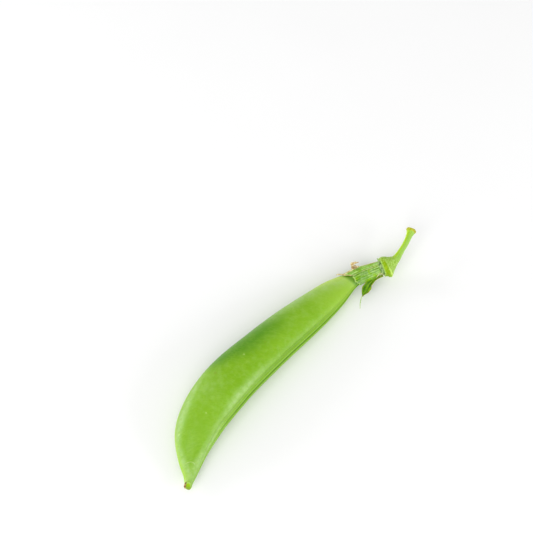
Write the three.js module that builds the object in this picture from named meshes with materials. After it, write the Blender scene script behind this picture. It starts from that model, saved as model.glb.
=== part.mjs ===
// A sugar snap pea as picked, with its stalk and the withered calyx, lying on one cheek.
//
// Millimetres, +Z up, and the surface that the pod lies on is z = 0. The pod lies along X, with the
// beak at -X and the stalk at +X. The seam, where the pod would open, faces -Y between its two ribs,
// and the arched back faces +Y. The pod's own measures are taken from the beak; the whole pea is
// moved at the end so that the origin is under the middle of it.

import * as THREE from 'three';
import { LoftGeometry } from 'three/addons/geometries/LoftGeometry.js';

// ---------------------------------------------------------------- driving dimensions

// Pod: its spine seen from above, from the neck inside the calyx to the beak.
const SPINE = [
	[ 96.5, - 5.6 ], [ 87.8, - 0.4 ], [ 70.2, 3.5 ], [ 51.6, 7.4 ], [ 33, 10 ], [ 16.2, 8.5 ], [ 0.05, 0.25 ],
];

// Half of the pod's width, seam to back, at equal steps along the spine, neck first.
const HALF_WIDTHS = [ 1.6, 2.6, 4.8, 6, 6.8, 7.3, 7.7, 8.1, 8.2, 7.7, 6.4, 3.6, 0.9 ];

const FLATNESS = 0.745; // cheek to cheek as a share of seam to back, where the pod is widest
const FULLEST = 6.2; // largest half thickness, cheek to cheek
const ROUND_NECK = 0.2; // share of the length over which the neck turns from round to flat
const NECK_RISE = 3.3; // how far the neck curves up off the surface
const NECK_RISE_FROM = 0.22;
const BEAK_RISE = 2.5; // how far the beak curves up off the surface
const BEAK_RISE_FROM = 0.82;
const BEAK_PINCH = 0.4; // how far the back draws in just before the blunt beak
const BEAK_PINCH_AT = 0.96;
const BEAK_PINCH_LENGTH = 0.03;
const BEAK_ROUNDING = 1.6; // length of the beak's rounded end
const BEAK_END_STEPS = [ 30, 60, 80 ]; // degrees along that end's quarter circle
const PRESSED = 0.15; // depth of the narrow flat on which the lower cheek rests

// Seam: a groove between two ribs, each with a furrow on its outer side.
const RIB_AT = 0.95; // rib crest to the seam line
const RIB_WIDTH = 0.5;
const RIB_HEIGHT = 0.35;
const SEAM_WIDTH = 0.35;
const SEAM_DEPTH = 0.25;
const FURROW_AT = 1.9;
const FURROW_WIDTH = 0.35;
const FURROW_DEPTH = 0.18;
const BACK_RIDGE = 0.2; // height of the low ridge along the back
const BACK_RIDGE_WIDTH = 0.6;
const FULL_SEAM_FROM = 3.2; // half thickness above which the seam has its full size

// Stalk: the swollen receptacle, then the slim stalk up to its torn-off end. The last number at each
// point of a path is the half width there.
const STALK_PATH = [
	[ 98, - 6.8, 5.3, 3.3 ], [ 98.6, - 7.3, 5.3, 3.45 ], [ 99.45, - 8, 5.4, 2.9 ], [ 100.6, - 8.5, 5.6, 1.85 ],
	[ 102.3, - 8.7, 5.8, 1.35 ], [ 104.8, - 8.55, 6.3, 1.15 ], [ 108.4, - 8.3, 6.9, 1.05 ],
	[ 111.5, - 7.8, 7.2, 1.1 ], [ 113.5, - 7.3, 7.3, 1.6 ],
];

// Calyx: a ring of withered tissue, then five sepals. Four of them still clasp the neck; the numbers
// are the angles round the neck between which a sepal lies, from the seam and in degrees, and the
// share of the pod's length that it reaches.
const RING_PATH = [ [ 97.05, - 6, 4.7, 2.2 ], [ 97.4, - 6.3, 4.7, 2.25 ], [ 97.75, - 6.6, 4.7, 2.2 ] ];
const CLASPING_SEPALS = [
	[ 'sepal_top', 3, 89, 0.107 ],
	[ 'sepal_back', 98, 160, 0.118 ],
	[ 'sepal_under_back', 169, 228, 0.1 ],
	[ 'sepal_under', 237, 300, 0.095 ],
];
const SEPAL_THICKNESS = 0.45;
const SEPAL_BOW = 0.4; // how far the middle of a sepal stands away from the neck
const SEPAL_TIP = 0.4; // width of a sepal's blunt tip as a share of its full width
const SEPAL_BLUNTNESS = 6; // the higher, the later a sepal narrows towards its tip
const SEPAL_FROM = 0.002; // share of the pod's length at which the sepals start

// The sepal on the seam side has come away and hangs beside the neck.
const HANGING_PATH = [
	[ 95.5, - 8.4, 3.9, 0.4 ], [ 93.7, - 7.7, 3.8, 0.7 ], [ 91, - 6.9, 3.8, 1 ], [ 88.2, - 6.7, 3.5, 1 ],
	[ 85.6, - 6.8, 3, 0.25 ],
];

// Dried remains of the flower: a curled scrap of petal, two stamens and the end of the style.
const PETAL_PATH = [
	[ 90.8, 0.5, 7.6, 0.35 ], [ 91.6, 0.6, 7.9, 0.4 ], [ 92.2, 0.4, 8.2, 0.35 ], [ 92.8, - 0.1, 8.3, 0.3 ],
	[ 93.4, - 0.6, 8.2, 0.15 ],
];
const LONG_STAMEN_PATH = [
	[ 85.1, - 6.9, 2.7, 0.2 ], [ 84.2, - 7.3, 2.5, 0.22 ], [ 82.8, - 8.4, 2.3, 0.15 ],
];
const SHORT_STAMEN_PATH = [
	[ 97.3, - 5.4, 7.4, 0.2 ], [ 97.8, - 4.7, 7.8, 0.22 ], [ 98.6, - 4.4, 7.7, 0.15 ],
];
const STYLE_PATH = [ [ 1.6, 2.3, 4.1, 0.15 ], [ 0.5, 1.9, 4, 0.28 ], [ - 0.3, 1.4, 3.9, 0.2 ] ];

const GAP = 0.3; // space left between neighbouring pieces

// How many faces each form gets.
const POD_RINGS = 46;
const POD_POINTS = 44;
const SEAM_CROWDING = 0.55; // how much closer the points are at the seam than at the back
const STALK_RINGS = 24;
const STALK_POINTS = 16; // the ring has as many
const RING_RINGS = 2;
const SEPAL_RINGS = 9;
const SEPAL_POINTS = 7;
const BAR_RINGS = 6;
const BAR_POINTS = 8;

// ---------------------------------------------------------------- small helpers

const UP = new THREE.Vector3( 0, 0, 1 );

const degrees = ( angle ) => angle * Math.PI / 180;

const bump = ( distance, width ) => Math.exp( - ( ( distance / width ) ** 2 ) );

function curveThrough( points ) {

	const places = points.map( ( [ x, y, z = 0 ] ) => new THREE.Vector3( x, y, z ) );
	return new THREE.CatmullRomCurve3( places, false, 'catmullrom' );

}

// A value that runs smoothly through a list of values spaced evenly from t = 0 to t = 1.
function profile( values ) {

	const curve = new THREE.SplineCurve( values.map( ( value, i ) => new THREE.Vector2( i, value ) ) );
	return ( t ) => curve.getPoint( t ).y;

}

// A section's centre, with the directions across it and up it.
function frameAt( centre, along ) {

	const across = UP.clone().cross( along ).normalize();
	const up = along.clone().cross( across );
	return { centre, across, up };

}

function pointIn( { centre, across, up }, x, y ) {

	return centre.clone().addScaledVector( across, x ).addScaledVector( up, y );

}

// A closed mesh over a row of sections.
function solid( name, sections, material ) {

	const geometry = new LoftGeometry( sections, { closed: true, capStart: true, capEnd: true } );
	const mesh = new THREE.Mesh( geometry, material );
	mesh.name = name;
	return mesh;

}

// A bar along a path whose points carry their half widths. It is round, or flat if it has a half
// thickness.
function bar( name, path, rings, points, material, halfThickness ) {

	const curve = curveThrough( path );
	const halfWidthAt = profile( path.map( ( point ) => point[ 3 ] ) );
	const sections = [];

	for ( let i = 0; i <= rings; i ++ ) {

		const t = i / rings;
		const frame = frameAt( curve.getPoint( t ), curve.getTangent( t ) );
		const width = halfWidthAt( t );
		const thickness = halfThickness || width;
		const section = [];

		for ( let k = 0; k < points; k ++ ) {

			const angle = 2 * Math.PI * k / points;
			section.push( pointIn( frame, width * Math.cos( angle ), thickness * Math.sin( angle ) ) );

		}

		sections.push( section );

	}

	return solid( name, sections, material );

}

// ---------------------------------------------------------------- materials

const podSkin = new THREE.MeshStandardMaterial( { color: 0x7dae20, roughness: 0.4, metalness: 0 } );
const stalkSkin = new THREE.MeshStandardMaterial( { color: 0xa6cb3a, roughness: 0.5, metalness: 0 } );
const sepalSkin = new THREE.MeshStandardMaterial( { color: 0x7fae4c, roughness: 0.7, metalness: 0 } );
const dryTissue = new THREE.MeshStandardMaterial( { color: 0xb5a878, roughness: 0.9, metalness: 0 } );
const dryStyle = new THREE.MeshStandardMaterial( { color: 0x7a5230, roughness: 0.9, metalness: 0 } );

// ---------------------------------------------------------------- the pod's form

const spine = curveThrough( SPINE );
const spineLength = spine.getLength();
const halfWidth = profile( HALF_WIDTHS );

// Half width, half thickness and height of the middle of the pod at t along the spine.
function podSize( t ) {

	const pinch = BEAK_PINCH * bump( t - BEAK_PINCH_AT, BEAK_PINCH_LENGTH ) / 2;
	const width = halfWidth( t ) - pinch;
	const roundness = Math.max( 0, 1 - t / ROUND_NECK ) ** 2;
	const ratio = FLATNESS + ( 1 - FLATNESS ) * roundness;
	const thickness = Math.min( width * ratio, FULLEST );
	const neckRise = NECK_RISE * Math.max( 0, 1 - t / NECK_RISE_FROM ) ** 2;
	const beakRise = BEAK_RISE * Math.max( 0, ( t - BEAK_RISE_FROM ) / ( 1 - BEAK_RISE_FROM ) ) ** 2;
	return { width, thickness, pinch, height: thickness + neckRise + beakRise - PRESSED };

}

// How far the skin stands proud of the plain oval section, at a height above or below the seam.
function relief( onSeamSide, height, thickness ) {

	if ( ! onSeamSide ) return BACK_RIDGE * bump( height, BACK_RIDGE_WIDTH );

	const scale = Math.min( 1, thickness / FULL_SEAM_FROM );
	const away = Math.abs( height ) / scale;
	const rib = RIB_HEIGHT * bump( away - RIB_AT, RIB_WIDTH );
	const seam = SEAM_DEPTH * bump( away, SEAM_WIDTH );
	const furrow = FURROW_DEPTH * bump( away - FURROW_AT, FURROW_WIDTH );
	return scale * ( rib - seam - furrow );

}

// A point of the pod's skin, or a layer that far outside it. The angle goes round from the seam.
function podPoint( t, angle, layer = 0 ) {

	const { width, thickness, pinch, height } = podSize( t );
	const frame = frameAt( spine.getPointAt( t ), spine.getTangentAt( t ) );
	const cos = Math.cos( angle );
	const sin = Math.sin( angle );
	const outward = layer + relief( cos > 0, thickness * sin, thickness );
	const point = pointIn( frame, ( width + outward ) * cos + pinch, ( thickness + outward ) * sin );
	point.z += height;
	return point;

}

function makePod() {

	const roundingShare = BEAK_ROUNDING / spineLength;
	const sections = [];

	for ( let i = 0; i <= POD_RINGS; i ++ ) {

		const t = i / POD_RINGS;
		const section = [];

		for ( let k = 0; k < POD_POINTS; k ++ ) {

			const even = 2 * Math.PI * k / POD_POINTS;
			const point = podPoint( t * ( 1 - roundingShare ), even - SEAM_CROWDING * Math.sin( even ) );
			point.z = Math.max( point.z, 0 );
			section.push( point );

		}

		sections.push( section );

	}

	// The beak's blunt end: the last section draws in along a quarter circle.
	const last = sections[ POD_RINGS ];
	const middle = new THREE.Vector3();
	last.forEach( ( point ) => middle.addScaledVector( point, 1 / POD_POINTS ) );
	const along = spine.getTangentAt( 1 );

	for ( const angle of BEAK_END_STEPS.map( degrees ) ) {

		const shift = along.clone().multiplyScalar( BEAK_ROUNDING * Math.sin( angle ) );
		sections.push( last.map( ( point ) => middle.clone().lerp( point, Math.cos( angle ) ).add( shift ) ) );

	}

	return solid( 'pod', sections, podSkin );

}

// ---------------------------------------------------------------- the calyx

// A sepal that lies against the neck: a curved plate from the calyx ring to a blunt tip.
function makeClaspingSepal( name, fromAngle, toAngle, reach ) {

	const middleAngle = degrees( fromAngle + toAngle ) / 2;
	const spread = degrees( toAngle - fromAngle ) / 2;
	const sections = [];

	for ( let i = 0; i <= SEPAL_RINGS; i ++ ) {

		const share = i / SEPAL_RINGS;
		const t = SEPAL_FROM + ( reach - SEPAL_FROM ) * share;
		const half = spread * Math.sqrt( 1 - ( 1 - SEPAL_TIP ** 2 ) * share ** SEPAL_BLUNTNESS );
		const inside = GAP + SEPAL_BOW * Math.sin( Math.PI * share );
		const outer = [];
		const inner = [];

		for ( let k = 0; k < SEPAL_POINTS; k ++ ) {

			const angle = middleAngle + half * ( 2 * k / ( SEPAL_POINTS - 1 ) - 1 );
			outer.push( podPoint( t, angle, inside + SEPAL_THICKNESS ) );
			inner.unshift( podPoint( t, angle, inside ) );

		}

		sections.push( [ ...outer, ...inner ] );

	}

	return solid( name, sections, sepalSkin );

}

// ---------------------------------------------------------------- the whole pea

const pea = new THREE.Group();
pea.add( makePod() );
pea.add( bar( 'stalk', STALK_PATH, STALK_RINGS, STALK_POINTS, stalkSkin ) );
pea.add( bar( 'calyx_ring', RING_PATH, RING_RINGS, STALK_POINTS, dryTissue ) );
pea.add( ...CLASPING_SEPALS.map( ( sepal ) => makeClaspingSepal( ...sepal ) ) );
pea.add( bar( 'sepal_hanging', HANGING_PATH, SEPAL_RINGS, BAR_POINTS, sepalSkin, SEPAL_THICKNESS / 2 ) );
pea.add( bar( 'dried_petal', PETAL_PATH, BAR_RINGS, BAR_POINTS, dryTissue ) );
pea.add( bar( 'dried_stamen_long', LONG_STAMEN_PATH, BAR_RINGS, BAR_POINTS, dryTissue ) );
pea.add( bar( 'dried_stamen_short', SHORT_STAMEN_PATH, BAR_RINGS, BAR_POINTS, dryTissue ) );
pea.add( bar( 'style_remnant', STYLE_PATH, BAR_RINGS, BAR_POINTS, dryStyle ) );

const box = new THREE.Box3().setFromObject( pea );
const boxMiddle = box.getCenter( new THREE.Vector3() );
pea.position.set( - boxMiddle.x, - boxMiddle.y, - box.min.z );

export default pea;
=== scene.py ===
"""A sugar snap pea lying on a white surface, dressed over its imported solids.

Lengths are millimetres in the pod's own frame: the beak is at the origin, the stalk lies towards +X,
the seam faces -Y, the back +Y, and the surface is z = 0. place() turns them into metres and moves
them to where the solids are.
"""

import math

import bpy
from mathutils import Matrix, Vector, noise


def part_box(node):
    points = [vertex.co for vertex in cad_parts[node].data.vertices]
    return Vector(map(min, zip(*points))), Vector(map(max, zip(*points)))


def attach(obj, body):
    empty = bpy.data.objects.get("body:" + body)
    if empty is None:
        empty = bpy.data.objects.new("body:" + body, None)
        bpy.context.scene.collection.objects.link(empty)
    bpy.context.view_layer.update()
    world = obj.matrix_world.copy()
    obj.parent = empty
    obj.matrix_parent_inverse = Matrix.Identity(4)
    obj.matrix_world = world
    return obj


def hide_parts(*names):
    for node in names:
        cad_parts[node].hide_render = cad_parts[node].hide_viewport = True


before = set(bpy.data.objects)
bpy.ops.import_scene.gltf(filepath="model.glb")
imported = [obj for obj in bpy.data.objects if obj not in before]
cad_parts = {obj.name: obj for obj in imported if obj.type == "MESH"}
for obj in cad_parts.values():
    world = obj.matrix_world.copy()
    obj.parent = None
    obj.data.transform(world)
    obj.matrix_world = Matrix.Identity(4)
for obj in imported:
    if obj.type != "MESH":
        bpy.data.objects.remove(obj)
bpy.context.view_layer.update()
scene = bpy.context.scene

# ---------------------------------------------------------------- driving dimensions

UP = Vector((0, 0, 1))

# The pod: spine from neck to beak, half widths from seam to back, and how its sections are made.
SPINE = [(96.5, -5.6), (87.8, -0.4), (70.2, 3.5), (51.6, 7.4), (33, 10), (16.2, 8.5), (0.05, 0.25)]
HALF_WIDTHS = [1.6, 2.6, 4.8, 6, 6.8, 7.3, 7.7, 8.1, 8.2, 7.7, 6.4, 3.6, 0.9]
FLATNESS = 0.745
FULLEST = 6.2
ROUND_NECK = 0.2
NECK_RISE = 3.3
NECK_RISE_FROM = 0.22
BEAK_RISE = 2.5
BEAK_RISE_FROM = 0.82
BEAK_PINCH = 0.4
BEAK_PINCH_AT = 0.96
BEAK_PINCH_LENGTH = 0.03
BEAK_ROUNDING = 1.6
PRESSED = 0.15

# Seam and back, finer than in the solids. The pod lies tilted, so its seam is above its widest line.
# The seam is narrower where the pod is thinner than FULL_SEAM_THICKNESS, and its relief fades from
# FULL_SEAM_FROM_BEAK towards the beak, down to the share SHALLOWEST_SEAM.
FULL_SEAM_THICKNESS = 5.5
FULL_SEAM_FROM_BEAK = 34
SHALLOWEST_SEAM = 0.4
SEAM_AT = 1.4
RIB_AT = 0.64
RIB_WIDTH = 0.32
RIB_HEIGHT = 0.3
SEAM_WIDTH = 0.26
SEAM_DEPTH = 0.25
FURROW_AT = 1.45
FURROW_WIDTH = 0.24
FURROW_DEPTH = 0.12
KEEL_HEIGHT = 0.16
KEEL_WIDTH = 0.5
BACK_RIDGE = 0.2
BACK_RIDGE_WIDTH = 0.6
BACK_LINE_WIDTH = 0.16
BACK_LINE_DEPTH = 0.07

# Where a crease curls, in millimetres from the beak and round from the seam.
CREASE_AT = (6.3, 4.4, 0)
CREASE_RADIUS = 1.7
CREASE_WIDTH = 0.16

# The beak ends in a shallow cup with a rim.
CUP_AT = Vector((1.15, 0.75, 0))
CUP_WIDTH = 0.6
CUP_DEPTH = 0.3
CUP_RIM_AT = 1.1
CUP_RIM_WIDTH = 0.3
CUP_RIM_HEIGHT = 0.14

# The peas inside show as faint swellings of the cheeks.
PEAS_AT = [17, 26.5, 37.5, 48, 59.5, 69.5, 79]
PEA_SWELL = 0.16
PEA_LENGTH = 4.6
SKIN_WAVES = 0.07
SKIN_WAVE_LENGTH = 9

# Stalk, ring, hanging sepal and dried bits: x, y, z and half width along each.
STALK = [
    (97.45, -6.55, 5.2, 3.1), (98.15, -7, 5.25, 3.25), (99.1, -7.65, 5.35, 3.1),
    (100.5, -8.35, 5.55, 2.4), (102.3, -8.75, 5.8, 1.5), (104.8, -8.65, 6.3, 1),
    (108.4, -8.4, 6.9, 0.92), (111.5, -7.8, 7.2, 1.05), (113.5, -7.3, 7.3, 1.55),
]
RING = [(96.3, -5.95, 4.85, 1.7), (96.85, -6.3, 4.95, 2.2), (97.5, -6.7, 5.05, 2.35)]
HANGING = [
    (95.75, -8.2, 4.05, 0.44), (93.3, -6.85, 3.95, 0.5), (90.7, -6.25, 3.85, 1.1),
    (88.4, -6.4, 3.5, 1.4), (86, -6.7, 2.95, 0.12),
]
CURL = [
    (96.1, -8.4, 4.25, 0.24), (95.72, -7.8, 5, 0.36), (95.3, -7.28, 5.5, 0.44),
    (94.8, -7.02, 5.45, 0.42), (94.25, -6.94, 5, 0.32), (93.75, -6.96, 4.3, 0.14),
]
BACK_TIP = [
    (89.1, 1.3, 4.6, 0.34), (88.4, 2, 4.7, 0.28), (87.9, 2.8, 4.75, 0.22), (87.4, 3.6, 4.8, 0.22),
    (86.85, 4.1, 4.7, 0.1),
]
PETAL = [
    (91.8, 0.5, 5.3, 0.34), (91.6, 0.75, 6.1, 0.56), (91.5, 0.95, 6.8, 0.68),
    (91.8, 1.05, 7.5, 0.52), (92.5, 0.55, 8.1, 0.32), (93.25, -0.15, 8.3, 0.12),
]
PETAL_LOBE = [
    (91.75, 0.45, 5.6, 0.3), (92, 0.05, 6.4, 0.4), (92.4, -0.45, 6.75, 0.34), (92.8, -0.6, 6.9, 0.1),
]
LONG_STAMEN = [
    (86, -6.6, 3, 0.15), (84.9, -6.9, 2.95, 0.14), (83.5, -7.55, 2.85, 0.12), (82.1, -8.45, 2.7, 0.08),
]
SHORT_STAMEN = [
    (97.1, -5.4, 6.9, 0.16), (97.7, -4.8, 7.6, 0.2), (98.1, -4.3, 7.7, 0.18), (98.2, -4, 7.4, 0.12),
]
STYLE = [
    (1.5, 1.8, 3.65, 0.14), (0.8, 1.6, 3.85, 0.25), (0.1, 1.3, 3.75, 0.26), (-0.3, 0.8, 3.55, 0.12),
]

# The stalk's relief, at shares of its path: a slanted ridge across the receptacle, with a heel towards
# the seam and a waist beyond it, as deep as the share WAIST of the heel's height, the scallops of the
# receptacle's edge, the stripes along the stalk and the lip of its torn-off end.
RIDGE_AT = 0.195
RIDGE_SLANT = 0.035
RIDGE_WIDTH = 0.025
RIDGE_HEIGHT = 0.08
HEEL = 0.9
HEEL_WIDTH = 0.08
WAIST = 0.4
WAIST_AT = 0.42
WAIST_WIDTH = 0.1
SCALLOPS = 9
SCALLOP_HEIGHT = 0.12
SCALLOPS_AT = 0.03
SCALLOPS_WIDTH = 0.04
STRIPES = 5
STRIPE_HEIGHT = 0.06
STRIPE_TWIST = 1.5
STRIPES_FROM = 0.4
STRIPES_FADE = 0.2
LIP_HEIGHT = 0.16
LIP_AT = 0.985
LIP_WIDTH = 0.02
STALK_ROUGHNESS = 0.05

# Clasping sepals: node, the angles round the neck from the seam, the share of the pod reached, how much
# of that is lost at the first angle, and how much at both.
CLASPING_SEPALS = [
    ("sepal_top", 1, 94, 0.096, 0.16, 0.1),
    ("sepal_back", 92, 163, 0.106, 0, 0.3),
    ("sepal_under_back", 161, 233, 0.1, 0, 0.3),
    ("sepal_under", 230, 303, 0.095, 0, 0.3),
]
SEPAL_THICKNESS = 0.34
SEPAL_BOW = 0.42
SEPAL_LAYER = 0.2
SEPAL_BASE = 1.25
SEPAL_RIBS = 6
SEPAL_RIB_HEIGHT = 0.07
SEPAL_CORNERS = 2.5
SEPAL_END_WAVES = 0.06

# The camera looks down on the pod: degrees and millimetres, with its target in the pod's frame.
CAMERA_AZIMUTH = -54.9
CAMERA_ELEVATION = 62
CAMERA_DISTANCE = 620
CAMERA_TARGET = Vector((78.5, 25.8, 0))
FIELD_OF_VIEW = 16

# Soft boxes: name, direction as the camera sees it over level ground (right, forward, up), distance
# and size in metres, and brightness.
SOFT_BOXES = [
    ("soft_box_right", (0.87, -0.34, 0.33), 0.7, 0.26, 8),
    ("soft_box_left", (-0.9, 0.3, 0.25), 0.7, 0.3, 6.5),
    ("soft_box_front", (-0.35, -0.75, 0.65), 0.9, 0.7, 3),
]
WORLD_BRIGHTNESS = 0.7
FLOOR_REACH = 3

# ---------------------------------------------------------------- curves


def bump(distance, width):
    """A smooth hump, 1 where the distance is 0."""
    return math.exp(-((distance / width) ** 2))


def through(values, share, level_ends=False):
    """The value at share, 0 to 1, of a smooth curve through evenly spaced numbers or vectors."""
    last = len(values) - 1
    at = min(max(share, 0), 1) * last
    i = min(int(at), last - 1)
    f = at - i
    a, b = values[i], values[i + 1]
    before = values[i - 1] if i > 0 else (a if level_ends else a * 2 - b)
    after = values[i + 2] if i + 2 <= last else (b if level_ends else b * 2 - a)
    square = before * 2 - a * 5 + b * 4 - after
    cubic = a * 3 - before - b * 3 + after
    return (a * 2 + (b - before) * f + square * f ** 2 + cubic * f ** 3) * 0.5


class Path:
    """A smooth path through points, with the half widths that belong to them."""

    STEP = 0.002

    def __init__(self, points):
        self.places = [Vector((p[0], p[1], p[2] if len(p) > 2 else 0)) for p in points]
        self.widths = [p[3] for p in points if len(p) > 3]

    def at(self, share):
        return through(self.places, share)

    def width(self, share):
        return through(self.widths, share, level_ends=True)

    def along(self, share):
        ahead = self.at(min(share + self.STEP, 1))
        behind = self.at(max(share - self.STEP, 0))
        return (ahead - behind).normalized()


def directions(along):
    """The directions across a path and up from it."""
    across = UP.cross(along).normalized()
    return across, along.cross(across)


def noisy(point, size=1):
    """Smooth noise from -1 to 1 whose lumps are about as big as size."""
    return noise.noise(Vector(point) / size)


# ---------------------------------------------------------------- the pod's form

SPINE_CURVE = Path(SPINE)
SPINE_STEPS = 400
SPINE_TABLE = [0.0]
for step in range(SPINE_STEPS):
    stretch = SPINE_CURVE.at((step + 1) / SPINE_STEPS) - SPINE_CURVE.at(step / SPINE_STEPS)
    SPINE_TABLE.append(SPINE_TABLE[-1] + stretch.length)
SPINE_LENGTH = SPINE_TABLE[-1]


def spine_share(t):
    """The spine curve's own share at t of its length."""
    wanted = t * SPINE_LENGTH
    low, high = 0, SPINE_STEPS
    while high - low > 1:
        middle = (low + high) // 2
        if SPINE_TABLE[middle] <= wanted:
            low = middle
        else:
            high = middle
    inside = (wanted - SPINE_TABLE[low]) / (SPINE_TABLE[high] - SPINE_TABLE[low])
    return (low + inside) / SPINE_STEPS


class Section:
    """One cross-section of the pod, at t of the spine's length from the neck."""

    def __init__(self, t):
        share = spine_share(t)
        self.from_beak = (1 - t) * SPINE_LENGTH
        self.along = SPINE_CURVE.along(share)
        self.across, self.up = directions(self.along)
        self.pinch = BEAK_PINCH * bump(t - BEAK_PINCH_AT, BEAK_PINCH_LENGTH) / 2
        self.width = through(HALF_WIDTHS, t, level_ends=True) - self.pinch
        roundness = max(0, 1 - t / ROUND_NECK) ** 2
        self.thickness = min(self.width * (FLATNESS + (1 - FLATNESS) * roundness), FULLEST)
        neck_rise = NECK_RISE * max(0, 1 - t / NECK_RISE_FROM) ** 2
        beak_rise = BEAK_RISE * max(0, (t - BEAK_RISE_FROM) / (1 - BEAK_RISE_FROM)) ** 2
        height = self.thickness + neck_rise + beak_rise - PRESSED
        self.centre = SPINE_CURVE.at(share) + UP * height
        self.seam_scale = min(1, self.thickness / FULL_SEAM_THICKNESS)
        fading = max(SHALLOWEST_SEAM, self.from_beak / FULL_SEAM_FROM_BEAK)
        self.seam_relief = self.seam_scale * min(1, fading)

    def above_seam(self, angle):
        """Millimetres above the seam line, for a full-sized seam."""
        return self.thickness * math.sin(angle) / self.seam_scale - SEAM_AT

    def relief(self, angle):
        """How far the skin stands proud of the plain oval."""
        sin = math.sin(angle)
        peas = sum(bump(self.from_beak - at, PEA_LENGTH) for at in PEAS_AT)
        swell = PEA_SWELL * abs(sin) ** 3 * peas
        if math.cos(angle) < 0:
            height = self.thickness * sin
            ridge = BACK_RIDGE * bump(height, BACK_RIDGE_WIDTH)
            return swell + ridge - BACK_LINE_DEPTH * bump(height, BACK_LINE_WIDTH)
        above = self.above_seam(angle)
        ribs = RIB_HEIGHT * bump(abs(above) - RIB_AT, RIB_WIDTH)
        keel = KEEL_HEIGHT * bump(above + SEAM_AT, KEEL_WIDTH)
        seam = SEAM_DEPTH * bump(above, SEAM_WIDTH)
        furrow = FURROW_DEPTH * bump(above - FURROW_AT, FURROW_WIDTH)
        return swell + self.seam_relief * (ribs + keel - seam - furrow)

    def point(self, angle, outward=0.0):
        """A point that far outside the plain oval, at an angle round from the seam."""
        across = (self.width + outward) * math.cos(angle) + self.pinch
        up = (self.thickness + outward) * math.sin(angle)
        return self.centre + self.across * across + self.up * up


def find_offset():
    """From the pod's frame to the row's, in millimetres, by how far the pod goes in +X and +Y."""
    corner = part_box("pod")[1] * 1000
    back = [Section(step / SPINE_STEPS).point(math.pi, BACK_RIDGE) for step in range(SPINE_STEPS)]
    return Vector((corner.x - max(p.x for p in back), corner.y - max(p.y for p in back), 0))


OFFSET = find_offset()


def place(point):
    """Millimetres in the pod's frame to metres in the row's."""
    return (point + OFFSET) / 1000


# ---------------------------------------------------------------- meshes

# A plate's points crowd towards its edges, where its thickness runs out: the higher the power, the
# nearer to the edge. PLATE_STEP is the step in u and v that finds its normals.
EDGE_CROWDING = 0.12
END_POWER = 10
SIDE_POWER = 8
PLATE_STEP = 0.004


def lofted(rings):
    """Points and faces of a skin over rings of equally many points, closed by a pole at either end."""
    count = len(rings[0])
    points = [point for ring in rings for point in ring]
    faces = []
    for i in range(len(rings) - 1):
        for k in range(count):
            after = (k + 1) % count
            near, far = i * count, (i + 1) * count
            faces.append((near + k, near + after, far + after, far + k))
    for ring, first in ((rings[0], 0), (rings[-1], len(points) - count)):
        pole = len(points)
        points.append(sum(ring, Vector()) / count)
        for k in range(count):
            after = (k + 1) % count
            edge = (first + after, first + k) if first == 0 else (first + k, first + after)
            faces.append((pole, *edge))
    return points, faces


def crowded(share):
    """A run from 0 to 1, slowed at both ends."""
    return share - EDGE_CROWDING * math.sin(2 * math.pi * share)


def plated(surface, thickness, rows, columns):
    """A thin closed plate about surface(u, v): points and faces, and each point's u and v."""
    points, shares, faces, front, back = [], [], [], {}, {}
    for i in range(rows + 1):
        for j in range(columns + 1):
            u, v = crowded(i / rows), crowded(j / columns)
            middle = surface(u, v)
            front[i, j] = back[i, j] = len(points)
            shares.append((u, v))
            if i in (0, rows) or j in (0, columns):
                points.append(middle)
                continue
            along = surface(u + PLATE_STEP, v) - surface(u - PLATE_STEP, v)
            across = surface(u, v + PLATE_STEP) - surface(u, v - PLATE_STEP)
            normal = along.cross(across).normalized()
            fullness = (1 - abs(2 * u - 1) ** END_POWER) * (1 - abs(2 * v - 1) ** SIDE_POWER)
            half = thickness / 2 * math.sqrt(fullness)
            points.append(middle + normal * half)
            back[i, j] = len(points)
            points.append(middle - normal * half)
            shares.append((u, v))
    for i in range(rows):
        for j in range(columns):
            corners = [(i, j), (i + 1, j), (i + 1, j + 1), (i, j + 1)]
            faces.append([front[c] for c in corners])
            faces.append([back[c] for c in reversed(corners)])
    return (points, faces), shares


def barred(path, rings, points_round, shape):
    """A round bar along a path: points and faces, and each point's share and angle.

    shape(share, angle) is added to its radius.
    """
    rows, shares = [], []
    for i in range(rings + 1):
        share = i / rings
        centre = path.at(share)
        across, up = directions(path.along(share))
        row = []
        for k in range(points_round):
            angle = 2 * math.pi * k / points_round
            radius = path.width(share) + shape(share, angle)
            row.append(centre + across * radius * math.cos(angle) + up * radius * math.sin(angle))
            shares.append((share, angle))
        rows.append(row)
    shares += [(0, 0), (1, 0)]
    return lofted(rows), shares


def make_piece(name, node, body, material, maps=None):
    """Makes the object that stands for a node. Each of the maps is a named list, one vector a point."""
    points, faces = body
    mesh = bpy.data.meshes.new(name)
    mesh.from_pydata([place(point) for point in points], [], faces)
    mesh.shade_smooth()
    mesh.materials.append(material)
    for key, vectors in (maps or {}).items():
        layer = mesh.attributes.new(key, "FLOAT_VECTOR", "POINT")
        layer.data.foreach_set("vector", [number for vector in vectors for number in vector])
    piece = bpy.data.objects.new(name, mesh)
    scene.collection.objects.link(piece)
    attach(piece, "root")
    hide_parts(node)


# ---------------------------------------------------------------- materials


def tint(red, green, blue):
    """A screen colour, 0 to 255 each, as linear light."""
    shares = [channel / 255 for channel in (red, green, blue)]
    linear = [s / 12.92 if s <= 0.04045 else ((s + 0.055) / 1.055) ** 2.4 for s in shares]
    return (*linear, 1)


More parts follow.
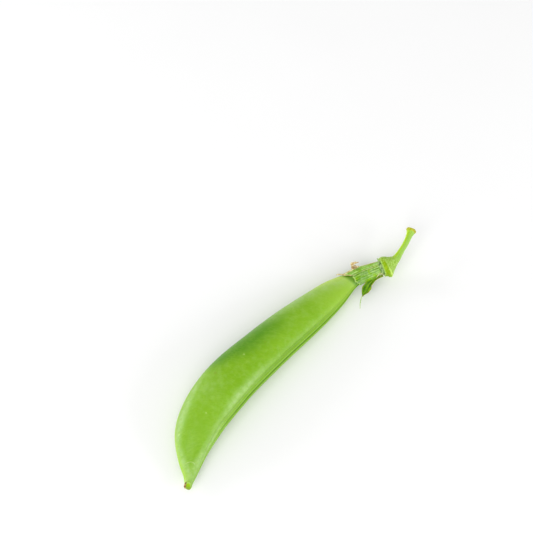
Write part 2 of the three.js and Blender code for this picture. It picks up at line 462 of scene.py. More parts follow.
class Finish:
    """A node material. Apart from node() and done(), a method returns the output of nodes it adds."""

    def __init__(self, name, **shader):
        self.material = bpy.data.materials.new(name)
        self.material.use_nodes = True
        self.tree = self.material.node_tree
        self.shader = self.tree.nodes["Principled BSDF"]
        for socket, value in shader.items():
            self.shader.inputs[socket.replace("_", " ")].default_value = value

    def node(self, kind, inputs, **settings):
        node = self.tree.nodes.new("ShaderNode" + kind)
        for name, value in settings.items():
            setattr(node, name, value)
        for socket, value in inputs.items():
            if isinstance(value, bpy.types.NodeSocket):
                self.tree.links.new(value, node.inputs[socket])
            else:
                node.inputs[socket].default_value = value
        return node

    def millimetres(self):
        """The object's own coordinates in millimetres."""
        own = self.node("TexCoord", {}).outputs["Object"]
        return self.node("VectorMath", {0: own, "Scale": 1000}, operation="SCALE").outputs[0]

    def mapped(self, name):
        """One of the mesh's named vectors."""
        return self.node("Attribute", {}, attribute_name=name).outputs["Vector"]

    def parts(self, vector):
        return self.node("SeparateXYZ", {0: vector}).outputs

    def stretched(self, vector, x, y, z):
        return self.node("VectorMath", {0: vector, 1: (x, y, z)}, operation="MULTIPLY").outputs[0]

    def warped(self, vector, size, amount):
        """The same vector, shaken smoothly by up to amount."""
        inputs = {"Vector": vector, "Scale": 1 / size, "Detail": 1}
        lumps = self.node("TexNoise", inputs).outputs["Color"]
        middle = {0: lumps, 1: (0.5, 0.5, 0.5)}
        centred = self.node("VectorMath", middle, operation="SUBTRACT").outputs[0]
        shift = self.node("VectorMath", {0: centred, "Scale": 2 * amount}, operation="SCALE").outputs[0]
        return self.node("VectorMath", {0: vector, 1: shift}, operation="ADD").outputs[0]

    def joined(self, x, y, z=0.0):
        return self.node("CombineXYZ", {0: x, 1: y, 2: z}).outputs[0]

    def away(self, vector, point):
        """How far the vector is from a fixed point."""
        return self.node("VectorMath", {0: vector, 1: point}, operation="DISTANCE").outputs["Value"]

    def noise(self, vector, size, detail=2, roughness=0.5):
        """Noise from 0 to 1 whose lumps are about as big as size."""
        inputs = {"Vector": vector, "Scale": 1 / size, "Detail": detail, "Roughness": roughness}
        return self.node("TexNoise", inputs).outputs[0]

    def cells(self, vector, size, feature="F1"):
        """The distance to the nearest of random points about size apart, or to the edge of its cell."""
        inputs = {"Vector": vector, "Scale": 1 / size}
        return self.node("TexVoronoi", inputs, feature=feature).outputs["Distance"]

    def math(self, operation, a, b=0.0):
        return self.node("Math", {0: a, 1: b}, operation=operation).outputs[0]

    def plus(self, a, b):
        return self.math("ADD", a, b)

    def minus(self, a, b):
        return self.math("SUBTRACT", a, b)

    def times(self, a, b):
        return self.math("MULTIPLY", a, b)

    def ramp(self, value, low, high):
        """0 where value is low and 1 where it is high, smooth between."""
        inputs = {"Value": value, "From Min": low, "From Max": high}
        return self.node("MapRange", inputs, interpolation_type="SMOOTHSTEP").outputs[0]

    def scaled(self, value, low, high):
        """0 to 1 turned into low to high."""
        return self.node("MapRange", {"Value": value, "To Min": low, "To Max": high}).outputs[0]

    def band(self, value, middle, half):
        """1 where value is at the middle, 0 from half away."""
        away = self.math("ABSOLUTE", self.minus(value, middle))
        return self.ramp(away, half, 0)

    def mix(self, share, a, b):
        node = self.node("Mix", {}, data_type="RGBA")
        for socket, value in (("Factor_Float", share), ("A_Color", a), ("B_Color", b)):
            at = next(s for s in node.inputs if s.identifier == socket)
            if isinstance(value, bpy.types.NodeSocket):
                self.tree.links.new(value, at)
            else:
                at.default_value = value
        return next(s for s in node.outputs if s.identifier == "Result_Color")

    def tinted(self, colour, mask, most, other):
        """The colour, with the other mixed in: by most where the mask is 1, and not where it is 0."""
        return self.mix(self.scaled(mask, 0, most), colour, other)

    def done(self, colour, roughness, height=None, depth=0.0):
        """Joins colour, roughness and a bump of depth millimetres to the shader."""
        self.tree.links.new(colour, self.shader.inputs["Base Color"])
        self.tree.links.new(roughness, self.shader.inputs["Roughness"])
        if height is not None:
            bumped = self.node("Bump", {"Height": height, "Distance": depth / 1000})
            self.tree.links.new(bumped.outputs[0], self.shader.inputs["Normal"])
        return self.material


class PodSkin(Finish):
    """Waxy green skin: mottled, faintly veined, with pale ribs, dark furrows and a pale back edge, and
    with painted sheen, painted highlights and painted shade.

    The map "skin" holds millimetres from the beak, millimetres round from the seam and the height
    above the middle; "lines" holds the height above the seam, millimetres round from the back line,
    and the cup: 1 in its middle and -1 on its rim. veins() and crease() return where they are. The
    others take the colour so far and return the next, and made() joins them all.
    """

    def __init__(self):
        super().__init__(
            "pod_skin", Subsurface_Weight=0.2, Subsurface_Radius=(0.5, 1, 0.1), Subsurface_Scale=0.001,
            Specular_IOR_Level=0.26,
        )
        self.where = self.millimetres()
        self.from_beak, self.round_from_seam, self.height = self.parts(self.mapped("skin"))
        self.above_seam, self.back, self.cup = self.parts(self.mapped("lines"))

    def mottled(self):
        """The first colour: wide patches of two greens, with a pale mottle."""
        patches = self.ramp(self.noise(self.where, 20, 2), 0.35, 0.65)
        colour = self.mix(patches, tint(112, 162, 6), tint(122, 170, 26))
        mottle = self.ramp(self.noise(self.where, 2, 4, 0.6), 0.4, 0.68)
        return self.tinted(colour, mottle, 0.28, tint(146, 188, 88))

    def toned(self, colour):
        """Deeper green in the middle's back half and by the beak, painted shade along the seam on the
        neck half, lighter by the neck.
        """
        from_beak = self.from_beak
        middle = self.times(self.ramp(from_beak, 34, 40), self.ramp(from_beak, 70, 56))
        inwards = self.plus(self.back, self.scaled(self.ramp(from_beak, 48, 37), 0, 3))
        deep = self.times(self.ramp(inwards, 12.8, 7), middle)
        colour = self.tinted(colour, deep, 0.9, tint(60, 127, 0))
        # Painted shade: darker green along the seam on the neck half.
        painted_seam_shade = self.times(self.band(self.above_seam, 1.3, 1.6), self.ramp(from_beak, 36, 54))
        colour = self.tinted(colour, painted_seam_shade, 0.3, tint(84, 134, 0))
        colour = self.tinted(colour, self.ramp(from_beak, 30, 12), 0.45, tint(106, 154, 36))
        return self.tinted(colour, self.ramp(from_beak, 68, 90), 0.85, tint(149, 190, 58))

    def with_painted_sheen(self, colour):
        """Painted sheen, a pale wash standing in for highlights, on both flanks of the beak, on the
        back near the neck and, faintly, between.
        """
        from_beak, back = self.from_beak, self.back
        seam_flank = self.minus(self.round_from_seam, self.scaled(self.ramp(from_beak, 12, 34), 0, 2.6))
        seam_flank = self.times(self.band(seam_flank, 2.3, 2.5), self.ramp(from_beak, 54, 34))
        seam_flank = self.times(seam_flank, self.scaled(self.band(from_beak, 25, 9), 1, 0.4))
        back_flank = self.minus(back, self.scaled(self.ramp(from_beak, 10, 26), 0, 2.2))
        back_flank = self.times(self.band(back_flank, 2.4, 2.4), self.ramp(from_beak, 36, 28))
        neck_back = self.times(self.band(back, 3.2, 5.2), self.ramp(from_beak, 46, 74))
        faint_sheen_patch = self.times(self.band(back, 8, 7), self.band(from_beak, 31, 8))
        # The painted sheen: a pale wash in place of highlights, broken up by a fine grain.
        painted_sheen = self.math("MAXIMUM", self.math("MAXIMUM", seam_flank, back_flank), neck_back)
        painted_sheen = self.math("MAXIMUM", painted_sheen, self.times(faint_sheen_patch, 0.3))
        sheen_grain = self.scaled(self.ramp(self.noise(self.where, 1.4, 4, 0.6), 0.35, 0.65), 0.22, 0.46)
        return self.mix(self.times(painted_sheen, sheen_grain), colour, tint(184, 212, 152))

    def necked(self, colour):
        """A painted highlight along the back edge near the neck, and painted shadow of the sepals'
        ends, in dark green, just before them.
        """
        # Painted highlight along the back edge near the neck.
        painted_neck_rim_highlight = self.times(self.band(self.back, 1.2, 4.6), self.ramp(self.from_beak, 76, 86))
        colour = self.tinted(colour, painted_neck_rim_highlight, 0.6, tint(214, 238, 92))
        # Painted shadow that the sepals' ends cast on the pod, in dark green just before them.
        to_sepals = self.plus(self.from_beak, self.times(self.round_from_seam, 0.3))
        return self.tinted(colour, self.ramp(to_sepals, 91, 92.5), 0.85, tint(58, 120, 0))

    def veins(self):
        """Where fine veins run, obliquely round the cheeks."""
        slanted = self.plus(self.from_beak, self.times(self.round_from_seam, 0.6))
        drawn_out = self.times(self.round_from_seam, 0.35)
        oblique = self.warped(self.joined(slanted, drawn_out, self.height), 1.2, 0.6)
        vein = self.ramp(self.cells(oblique, 1.1, "DISTANCE_TO_EDGE"), 0.16, 0)
        return self.times(vein, self.ramp(self.noise(self.where, 3, 2), 0.25, 0.6))

    def dotted(self, colour):
        """Pores are fine pale dots, and a few larger flecks are pale or brown."""
        pores = self.ramp(self.cells(self.where, 0.45), 0.3, 0.05)
        colour = self.tinted(colour, pores, 0.12, tint(172, 210, 90))
        shaken = self.warped(self.joined(self.from_beak, self.round_from_seam), 0.5, 0.3)
        flecks = self.ramp(self.cells(self.stretched(shaken, 1, 0.7, 1), 8), 0.055, 0.02)
        colour = self.tinted(colour, flecks, 0.5, tint(190, 218, 130))
        scars = self.ramp(self.cells(self.stretched(shaken, 0.7, 1, 1), 13), 0.04, 0.012)
        return self.tinted(colour, scars, 0.5, tint(122, 116, 30))

    def crease(self):
        """Where a crease curls across the top just before the beak."""
        away = self.away(self.joined(self.from_beak, self.round_from_seam), CREASE_AT)
        crease = self.band(away, CREASE_RADIUS, CREASE_WIDTH)
        crease = self.times(crease, self.ramp(self.from_beak, 7, 7.8))
        return self.times(crease, self.ramp(self.height, 0, 1))

    def seamed(self, colour):
        """The dark seam between light ribs, in deep green that is partly its own colour and partly
        painted shade, with a broken furrow above it and a lower rib painted partly lighter.
        """
        above_seam, from_beak = self.above_seam, self.from_beak
        # Deep green round the seam: partly its own colour, partly painted shade of the side that faces
        # down.
        edge = self.times(self.band(above_seam, -0.7, 2.3), self.ramp(from_beak, 14, 34))
        colour = self.tinted(colour, edge, 0.9, tint(92, 138, 0))
        broken = self.scaled(self.noise(self.where, 0.7, 2), 0.4, 1)
        furrow = self.times(self.band(above_seam, FURROW_AT, 0.4), broken)
        colour = self.tinted(colour, furrow, 0.4, tint(88, 124, 44))
        colour = self.tinted(colour, self.band(above_seam, RIB_AT, 0.34), 0.5, tint(140, 184, 60))
        # The lower rib is pale: partly its own colour, partly painted light thrown up from the floor.
        colour = self.tinted(colour, self.band(above_seam, -RIB_AT, 0.28), 0.8, tint(138, 188, 42))
        clear_of_ends = self.times(self.ramp(from_beak, 16, 38), self.ramp(from_beak, 86, 66))
        suture = self.times(self.band(above_seam, 0, 0.42), self.scaled(clear_of_ends, 0.3, 1))
        return self.tinted(colour, suture, 0.8, tint(70, 126, 0))

    def back_lined(self, colour):
        """A pale line along the back, with a lighter edge, partly pale skin and partly painted rim
        highlight, that is weak in the deep green middle.
        """
        strength = self.scaled(self.band(self.from_beak, 43, 16), 0.6, 0.15)
        # The lighter edge along the back: partly pale skin, partly painted rim highlight.
        edge = self.times(self.band(self.back, 0, 3), strength)
        colour = self.mix(edge, colour, tint(180, 216, 90))
        return self.tinted(colour, self.band(self.back, 0, 0.35), 0.6, tint(206, 230, 140))

    def tipped(self, colour):
        """The end of the beak is olive, with a clear yellow green cup."""
        colour = self.tinted(colour, self.ramp(self.from_beak, 1.3, 0.3), 0.7, tint(124, 152, 0))
        colour = self.tinted(colour, self.ramp(self.from_beak, 0.5, 0.1), 0.7, tint(96, 104, 10))
        colour = self.mix(self.ramp(self.cup, -0.1, 0.4), colour, tint(154, 196, 0))
        return self.tinted(colour, self.ramp(self.cup, -0.5, -0.95), 0.7, tint(134, 172, 20))

    def made(self):
        """The whole material, with its layers in order from the flesh out."""
        colour = self.necked(self.with_painted_sheen(self.toned(self.mottled())))
        veins = self.veins()
        colour = self.dotted(self.tinted(colour, veins, 0.13, tint(166, 204, 76)))
        crease = self.crease()
        colour = self.tinted(colour, crease, 0.5, tint(196, 222, 140))
        colour = self.tipped(self.back_lined(self.seamed(colour)))
        rough = self.scaled(self.noise(self.where, 3, 2), 0.32, 0.44)
        bumps = self.plus(self.times(veins, 0.3), self.noise(self.where, 0.35, 3))
        bumps = self.plus(bumps, self.times(crease, 2))
        return self.done(colour, rough, bumps, 0.025)


def make_leaf_skin(name, dark, light, pale, margin, patchy, lump, dry_base=0.0, dry_side=0.0):
    """A ribbed little leaf with a rim and tip in the margin colour.

    The map "leaf" holds the share along it, the share across it and its ribs, -1 to 1. lump is the
    size of its mottling in millimetres. The others say how much shows, 0 to 1: patchy of whitish and
    clear green patches, dry_base of a withered base and dry_side of a dry strip on its far side.
    """
    leaf = Finish(
        name, Subsurface_Weight=0.2, Subsurface_Radius=(0.5, 1, 0.2), Subsurface_Scale=0.0006,
        Specular_IOR_Level=0.14,
    )
    where = leaf.millimetres()
    share_map = leaf.mapped("leaf")
    along, across, rib = leaf.parts(share_map)

    # Darker between the ribs and pale on their crests: where the ribs stand in relief, as on the
    # clasping sepals, this is painted shade in the grooves and painted highlight on the crests.
    colour = leaf.mix(leaf.ramp(rib, -0.8, 0.1), dark, light)
    lumps = leaf.ramp(leaf.noise(where, lump, 3), 0.4, 0.65)
    colour = leaf.tinted(colour, lumps, 0.5, dark)
    painted_crest_highlight = leaf.times(leaf.ramp(rib, 0.35, 0.85), leaf.scaled(lumps, 1, 0.4))
    colour = leaf.tinted(colour, painted_crest_highlight, 0.85, pale)

    # Whitish and clear green patches.
    whitish = leaf.ramp(leaf.noise(where, 1.8, 3, 0.6), 0.42, 0.64)
    colour = leaf.tinted(colour, whitish, 0.3 * patchy, tint(190, 216, 168))
    clear = leaf.ramp(leaf.noise(leaf.stretched(where, 1, 1, -1), 2.2, 2), 0.5, 0.68)
    colour = leaf.tinted(colour, clear, patchy, tint(128, 174, 0))

    # Short pale hairs lie along it.
    hair_map = leaf.warped(leaf.stretched(share_map, 9, 24, 0), 0.8, 0.4)
    hairs = leaf.ramp(leaf.cells(hair_map, 0.7), 0.35, 0.1)
    colour = leaf.tinted(colour, hairs, 0.5, pale)

    # The margin, then the dry strip that widens along the far side, and the withered base, whose darker
    # lumps are partly painted shade.
    wobble = leaf.scaled(leaf.noise(where, 0.8, 2), -0.05, 0.05)
    side = leaf.math("ABSOLUTE", leaf.minus(across, 0.5))
    rim = leaf.ramp(leaf.plus(side, wobble), 0.44, 0.49)
    tip = leaf.ramp(leaf.plus(along, wobble), 0.94, 1)
    colour = leaf.tinted(colour, leaf.math("MAXIMUM", rim, tip), 0.85, margin)
    base = leaf.ramp(leaf.plus(along, wobble), 0.14, 0.08)
    uneven = leaf.plus(across, leaf.scaled(leaf.noise(where, 0.9, 3), -0.14, 0.14))
    inner = leaf.scaled(leaf.ramp(along, 0.5, 0.85), 0.62, 0.4)
    strip = leaf.ramp(leaf.minus(uneven, inner), 0, 0.1)
    straw = leaf.mix(lumps, tint(234, 228, 170), tint(190, 160, 104))
    colour = leaf.tinted(colour, strip, dry_side, straw)
    # The withered base: its darker lumps are partly painted shade where the hanging sepal curls.
    withered_and_painted_shade = leaf.mix(lumps, tint(160, 176, 80), tint(66, 88, 4))
    colour = leaf.tinted(colour, base, dry_base, withered_and_painted_shade)

    rough = leaf.scaled(lumps, 0.42, 0.6)
    bumps = leaf.plus(leaf.noise(where, 0.35, 3), leaf.times(hairs, 0.5))
    return leaf.done(colour, rough, bumps, 0.06)


def make_stalk_skin():
    """Pale at the receptacle's scalloped edge and cone, yellow green between and partly painted shade
    towards the seam, striped along the stalk, with a painted highlight along its back.

    The map "bar" holds the share along it, and how far a point faces the back and the top, -1 to 1.
    """
    skin = Finish(
        "stalk_skin", Subsurface_Weight=0.25, Subsurface_Radius=(0.5, 1, 0.2), Subsurface_Scale=0.0006,
        Specular_IOR_Level=0.16,
    )
    where = skin.millimetres()
    share, to_back, _ = skin.parts(skin.mapped("bar"))

    grain = skin.ramp(skin.noise(where, 0.55, 3), 0.35, 0.7)
    cone = skin.mix(grain, tint(138, 180, 52), tint(178, 208, 108))
    # The facet: yellow green, strongest towards the seam, partly its own colour and partly painted
    # shade of the side turned from the light.
    facet = skin.mix(grain, tint(124, 162, 0), tint(146, 178, 0))
    slanted = skin.plus(share, skin.times(to_back, RIDGE_SLANT))
    clear = skin.times(skin.ramp(share, 0.01, 0.035), skin.ramp(slanted, RIDGE_AT, RIDGE_AT - 0.03))
    to_seam = skin.ramp(skin.plus(to_back, skin.scaled(grain, -0.3, 0.3)), 0.75, -0.1)
    colour = skin.mix(skin.times(clear, skin.scaled(to_seam, 0.2, 1)), cone, facet)
    ridge = skin.times(skin.band(slanted, RIDGE_AT + 0.01, 0.022), skin.ramp(to_back, 0.1, -0.9))
    colour = skin.tinted(colour, ridge, 0.6, tint(206, 230, 124))

    # Along the stalk: yellow green towards the back, pale towards the seam, with fine dark lines.
    stripe = skin.mix(skin.ramp(to_back, -0.3, 0.5), tint(158, 198, 84), tint(170, 204, 40))
    fine = skin.noise(skin.stretched(skin.mapped("bar"), 1.5, 5, 5), 1, 2)
    stripe = skin.tinted(stripe, skin.ramp(fine, 0.45, 0.7), 0.6, tint(108, 166, 30))
    stripe = skin.tinted(stripe, skin.ramp(fine, 0.45, 0.25), 0.5, tint(204, 228, 130))
    # Painted highlight along the side of the stalk that faces the back.
    edge = skin.band(to_back, 1, 0.25)
    stripe = skin.tinted(stripe, edge, 0.6, tint(216, 236, 120))
    colour = skin.mix(skin.ramp(share, 0.42, 0.55), colour, stripe)

    # The torn end is dry at its rim.
    wobble = skin.scaled(skin.noise(where, 0.6, 2), -0.012, 0.012)
    end = skin.ramp(skin.plus(share, wobble), 0.94, 0.96)
    dry = skin.mix(grain, tint(160, 150, 24), tint(188, 194, 50))
    colour = skin.tinted(colour, end, 0.95, dry)

    rough = skin.scaled(grain, 0.38, 0.55)
    return skin.done(colour, rough, skin.noise(where, 0.3, 3), 0.07)


def make_dry_skin(name, dark, light, size, roughness):
    """A dull skin between two colours, whose lumps are about size millimetres."""
    skin = Finish(
        name, Subsurface_Weight=0.15, Subsurface_Radius=(0.6, 0.8, 0.4), Subsurface_Scale=0.0004,
    )
    where = skin.millimetres()
    lumps = skin.ramp(skin.noise(where, size, 3), 0.35, 0.65)
    colour = skin.mix(lumps, dark, light)
    rough = skin.scaled(skin.noise(where, size / 2, 2), roughness, roughness + 0.15)
    return skin.done(colour, rough, skin.noise(where, size / 4, 3), 0.05)


# ---------------------------------------------------------------- pieces

# The pod's skin. Its points crowd towards the seam, and its back half counts as FAR_FROM_SEAM
# millimetres above the seam, where no mark of the seam reaches.
POD_RINGS = 380
POD_POINTS = 200
SEAM_CROWDING = 0.55
BEAK_END_RINGS = 12
FAR_FROM_SEAM = 99

# How finely the other pieces are divided.
SEPAL_ROWS = 70
SEPAL_COLUMNS = 72
STALK_RINGS = 200
STALK_POINTS = 96
BAR_RINGS = 40
BLADE_ROWS = 60
BLADE_COLUMNS = 32


def pod_rings():
    """The pod's rings from the neck on, and what two maps hold at each of their points."""
    rings, skin_map, distances = [], [], []
    for i in range(POD_RINGS + 1):
        section = Section(i / POD_RINGS * (1 - BEAK_ROUNDING / SPINE_LENGTH))
        size = (section.width + section.thickness) / 2
        ring = []
        for k in range(POD_POINTS):
            even = 2 * math.pi * k / POD_POINTS
            angle = even - SEAM_CROWDING * math.sin(even)
            waves = SKIN_WAVES * noisy(section.point(angle), SKIN_WAVE_LENGTH) * abs(math.sin(angle))
            point = section.point(angle, section.relief(angle) + waves)
            point.z = max(point.z, 0)
            ring.append(point)
            turn = angle if angle < math.pi else 2 * math.pi - angle
            skin_map.append((section.from_beak, turn * size, section.thickness * math.sin(angle)))
            above_seam = section.above_seam(angle) if math.cos(angle) > 0 else FAR_FROM_SEAM
            distances.append((above_seam, (math.pi - turn) * size))
        rings.append(ring)
    return rings, skin_map, distances


def round_beak(rings, skin_map, distances):
    """Adds the rings that round off the beak, and what the maps hold there."""
    last = rings[-1]
    middle = sum(last, Vector()) / POD_POINTS
    ahead = SPINE_CURVE.along(1)
    for step in range(1, BEAK_END_RINGS):
        turn = math.pi / 2 * step / BEAK_END_RINGS
        shift = ahead * BEAK_ROUNDING * math.sin(turn)
        rings.append([middle.lerp(point, math.cos(turn)) + shift for point in last])
        left = BEAK_ROUNDING * (1 - math.sin(turn))
        skin_map += [(left, around, height) for _, around, height in skin_map[-POD_POINTS:]]
        distances += distances[-POD_POINTS:]


def cupped(point):
    """A point of the beak's upper side, moved to make the cup, and how deep in the cup it is."""
    away = Vector((point.x - CUP_AT.x, point.y - CUP_AT.y)).length
    inside = bump(away, CUP_WIDTH)
    rim = bump(away - CUP_RIM_AT, CUP_RIM_WIDTH)
    return point + UP * (CUP_RIM_HEIGHT * rim - CUP_DEPTH * inside), inside - rim


def make_pod():
    """The pod's skin from neck to beak, with its maps and the cup in its end."""
    rings, skin_map, distances = pod_rings()
    round_beak(rings, skin_map, distances)
    line_map = []
    for ring in rings:
        height = sum(point.z for point in ring) / POD_POINTS
        for k, point in enumerate(ring):
            cup = 0
            if point.z > height:
                ring[k], cup = cupped(point)
            line_map.append((*distances[len(line_map)], cup))
    # The poles at the neck and the beak come last, and take the values of the points beside them.
    for values in (skin_map, line_map):
        values += [values[0], values[-1]]
    maps = {"skin": skin_map, "lines": line_map}
    make_piece("pod_skin", "pod", lofted(rings), PodSkin().made(), maps)


def make_clasping_sepal(node, from_angle, to_angle, reach, slant, taper, seed, material):
    """A ribbed sepal that lies on the neck between two angles."""
    low, high = math.radians(from_angle), math.radians(to_angle)
    base = SEPAL_BASE / SPINE_LENGTH

    def ribs(u, v):
        even = math.cos(2 * math.pi * SEPAL_RIBS * v + 1.2 * noisy((u * 2, v * 3, seed)))
        uneven = noisy((u * 1.5, v * 9, seed + 5))
        return max(-1, min(1, 0.5 * even + 1.1 * uneven))

    def surface(u, v):
        corners = taper * abs(2 * v - 1) ** SEPAL_CORNERS
        lobe = 1 - corners - slant * (1 - v) + SEPAL_END_WAVES * noisy((v * 6, seed, 0))
        t = u * (reach * lobe + base) - base
        section = Section(max(t, 0))
        behind = section.along * min(t, 0) * SPINE_LENGTH
        angle = low + (high - low) * v
        bow = SEPAL_BOW * math.sin(math.pi * min(max(u, 0), 1))
        layer = SEPAL_LAYER + SEPAL_THICKNESS / 2 + bow + SEPAL_RIB_HEIGHT * ribs(u, v)
        return section.point(angle, section.relief(angle) + layer) + behind

    body, shares = plated(surface, SEPAL_THICKNESS, SEPAL_ROWS, SEPAL_COLUMNS)
    maps = {"leaf": [(u, v, ribs(u, v)) for u, v in shares]}
    make_piece(node + "_leaf", node, body, material, maps)


def make_stalk():
    """The receptacle, with its scalloped edge, ridge and heel, and the stalk to its torn-off end."""

    def shape(share, angle):
        slim = min(max((share - STRIPES_FROM) / STRIPES_FADE, 0), 1)
        stripes = STRIPE_HEIGHT * math.cos(STRIPES * angle + STRIPE_TWIST * share) * slim
        edge = bump(share - SCALLOPS_AT, SCALLOPS_WIDTH)
        scallops = SCALLOP_HEIGHT * math.cos(SCALLOPS * angle) * edge
        slanted = share + RIDGE_SLANT * math.cos(angle) - RIDGE_AT
        to_seam = max(0, -math.cos(angle))
        waist = WAIST * to_seam * bump(share - WAIST_AT, WAIST_WIDTH)
        heel = HEEL * (to_seam ** 2 * bump(slanted, HEEL_WIDTH) - waist)
        collar = heel + RIDGE_HEIGHT * to_seam * bump(slanted, RIDGE_WIDTH)
        lip = LIP_HEIGHT * bump(share - LIP_AT, LIP_WIDTH)
        rough = STALK_ROUGHNESS * noisy((share * 30, math.cos(angle) * 2, math.sin(angle) * 2))
        return stripes + scallops + collar + lip + rough

    body, shares = barred(Path(STALK), STALK_RINGS, STALK_POINTS, shape)
    maps = {"bar": [(share, math.cos(angle), math.sin(angle)) for share, angle in shares]}
    make_piece("stalk_skin", "stalk", body, make_stalk_skin(), maps)


def make_bar(name, node, slot, points, points_round, wrinkle, material):
    """A bar along a path, with wrinkles that are wrinkle millimetres deep."""

    def wrinkled(share, angle):
        return wrinkle * noisy((share * 8, math.cos(angle) * 3, math.sin(angle) * 3))

    body, _ = barred(Path(points), BAR_RINGS, points_round, wrinkled)
    make_piece(name, node, body, material)


def make_blade(name, node, slot, points, thickness, ragged, curl, material):
    """A thin blade along a path, as wide as the path says, with ragged edges and raised sides."""
    path = Path(points)

    def fold(u, v):
        return 0.4 * math.cos(2 * math.pi * (2 * v - 1)) + 0.9 * noisy((u * 5, v * 5, 7))

    def surface(u, v):
        across, up = directions(path.along(u))
        side = 2 * v - 1
        width = path.width(u) * (1 + ragged * noisy((u * 7, side, 3)))
        return path.at(u) + across * width * side + up * (curl * width * side ** 2)

    body, shares = plated(surface, thickness, BLADE_ROWS, BLADE_COLUMNS)
    maps = {"leaf": [(u, v, fold(u, v)) for u, v in shares]}
    make_piece(name, node, body, material, maps)


def make_sepals():
    """The four sepals that clasp the neck, one of them paler and dry along its margin."""
    greens = (tint(70, 122, 12), tint(120, 168, 36), tint(190, 218, 138))
    skin = make_leaf_skin("sepal_skin", *greens, tint(176, 204, 112), patchy=0.8, lump=1.1)
    pale_greens = (tint(88, 142, 30), tint(146, 196, 70), tint(204, 230, 154))
    dry_edged_skin = make_leaf_skin(
        "dry_edged_sepal_skin", *pale_greens, tint(204, 178, 130), patchy=0.8, lump=1.1, dry_side=0.85,
    )
    for seed, sepal in enumerate(CLASPING_SEPALS):
        make_clasping_sepal(*sepal, seed, dry_edged_skin if sepal[0] == "sepal_back" else skin)


def make_hanging_sepal():
    """The deeper green sepal that has come away and hangs on the seam side."""
    greens = (tint(40, 92, 0), tint(108, 158, 0), tint(154, 186, 40))
    skin = make_leaf_skin(
        "hanging_sepal_skin", *greens, tint(160, 140, 40), patchy=0.1, lump=0.7, dry_base=0.9,
    )
    make_blade("sepal_hanging_leaf", "sepal_hanging", "sepal_skin", HANGING, 0.3, 0.2, 0.3, skin)


def make_dried_bits():
    """The withered ring, the stamens, the style, the petal and the dry ends of two sepals."""
    ring_skin = make_dry_skin("ring_tissue", tint(66, 106, 22), tint(160, 186, 122), 0.6, 0.6)
    pale_skin = make_dry_skin("pale_tissue", tint(138, 172, 92), tint(180, 202, 136), 0.8, 0.6)
    thread_skin = make_dry_skin("thread_skin", tint(160, 196, 100), tint(196, 220, 140), 0.8, 0.6)
    tan_skin = make_dry_skin("tan_tissue", tint(180, 140, 88), tint(226, 218, 168), 0.45, 0.7)
    brown_skin = make_dry_skin("brown_tissue", tint(112, 70, 36), tint(196, 156, 104), 0.5, 0.7)
    curl_skin = make_dry_skin("curl_tissue", tint(188, 176, 100), tint(240, 236, 176), 0.6, 0.6)

    # Piece, node, slot, path, points round, depth of its wrinkles and material.
    tissue = "dry_tissue"
    bars = [
        ("calyx_ring_tissue", "calyx_ring", tissue, RING, 120, 0.12, ring_skin),
        ("dried_stamen_long_thread", "dried_stamen_long", tissue, LONG_STAMEN, 12, 0.04, thread_skin),
        ("dried_stamen_short_thread", "dried_stamen_short", tissue, SHORT_STAMEN, 12, 0.04, pale_skin),
        ("style_end", "style_remnant", "dry_style", STYLE, 20, 0.04, brown_skin),
    ]
    for bar in bars:
        make_bar(*bar)

    # Piece, node, path, thickness, raggedness, curl and material.
    blades = [
        ("dried_petal_scrap", "dried_petal", PETAL, 0.14, 0.7, 1.1, tan_skin),
        ("dried_petal_lobe", "dried_petal", PETAL_LOBE, 0.14, 0.5, 0.6, tan_skin),
        ("sepal_back_tip", "sepal_back", BACK_TIP, 0.14, 0.3, 0.5, tan_skin),
        ("sepal_hanging_curl", "sepal_hanging", CURL, 0.2, 0.4, 0.8, curl_skin),
    ]
    for piece, node, *shape in blades:
        make_blade(piece, node, tissue, *shape)


make_pod()
make_sepals()
make_hanging_sepal()
make_stalk()
make_dried_bits()

# ---------------------------------------------------------------- floor, light and camera


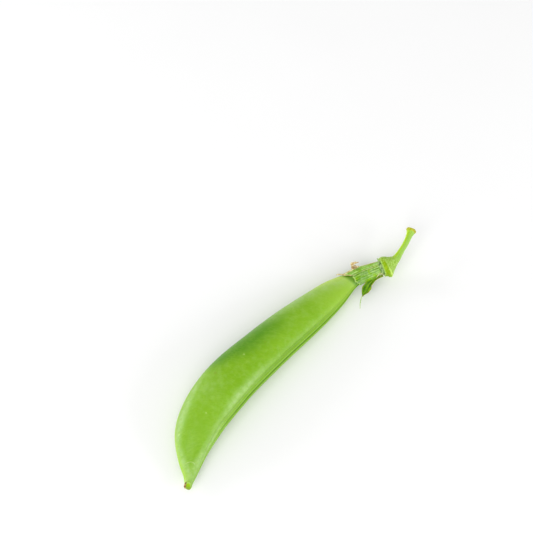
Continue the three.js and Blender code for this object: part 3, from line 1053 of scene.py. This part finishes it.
def make_floor():
    """A plain white floor that reaches as many metres each way as FLOOR_REACH says."""
    mesh = bpy.data.meshes.new("floor")
    corners = [(FLOOR_REACH * x, FLOOR_REACH * y, 0) for x, y in ((-1, -1), (1, -1), (1, 1), (-1, 1))]
    mesh.from_pydata(corners, [], [(0, 1, 2, 3)])
    white = Finish("floor_white", Specular_IOR_Level=0.1)
    grain = white.noise(white.millimetres(), 40, 2)
    colour = white.mix(grain, (0.86, 0.86, 0.86, 1), (0.88, 0.88, 0.88, 1))
    mesh.materials.append(white.done(colour, white.scaled(grain, 0.7, 0.8)))
    floor = bpy.data.objects.new("floor", mesh)
    scene.collection.objects.link(floor)


def from_camera(right, forward, up):
    """A direction, given as seen by the camera over level ground, in the row's frame."""
    turn = math.radians(CAMERA_AZIMUTH)
    sideways = Vector((math.cos(turn), math.sin(turn), 0))
    ahead = Vector((-math.sin(turn), math.cos(turn), 0))
    return sideways * right + ahead * forward + UP * up


def make_light(name, direction, distance, size, brightness):
    """A square soft box that shines at the pod. A brightness of 1 is a white sheet in full light."""
    light = bpy.data.lights.new(name, "AREA")
    light.shape = "SQUARE"
    light.size = size
    light.energy = brightness * math.pi * size ** 2
    lamp = bpy.data.objects.new(name, light)
    towards = from_camera(*direction).normalized()
    lamp.location = towards * distance
    lamp.rotation_mode = "QUATERNION"
    lamp.rotation_quaternion = (-towards).to_track_quat("-Z", "Y")
    scene.collection.objects.link(lamp)


def make_camera():
    azimuth, elevation = math.radians(CAMERA_AZIMUTH), math.radians(CAMERA_ELEVATION)
    level = math.cos(elevation)
    back = Vector((math.sin(azimuth) * level, -math.cos(azimuth) * level, math.sin(elevation)))
    data = bpy.data.cameras.new("camera")
    data.angle = math.radians(FIELD_OF_VIEW)
    camera = bpy.data.objects.new("camera", data)
    camera.location = place(CAMERA_TARGET) + back * CAMERA_DISTANCE / 1000
    camera.rotation_mode = "QUATERNION"
    camera.rotation_quaternion = (-back).to_track_quat("-Z", "Y")
    scene.collection.objects.link(camera)
    scene.camera = camera


def make_world():
    world = bpy.data.worlds.new("studio")
    world.use_nodes = True
    background = world.node_tree.nodes["Background"]
    background.inputs["Color"].default_value = (1, 1, 1, 1)
    background.inputs["Strength"].default_value = WORLD_BRIGHTNESS
    scene.world = world
    scene.view_settings.view_transform = "Standard"


make_floor()
make_world()
for soft_box in SOFT_BOXES:
    make_light(*soft_box)
make_camera()
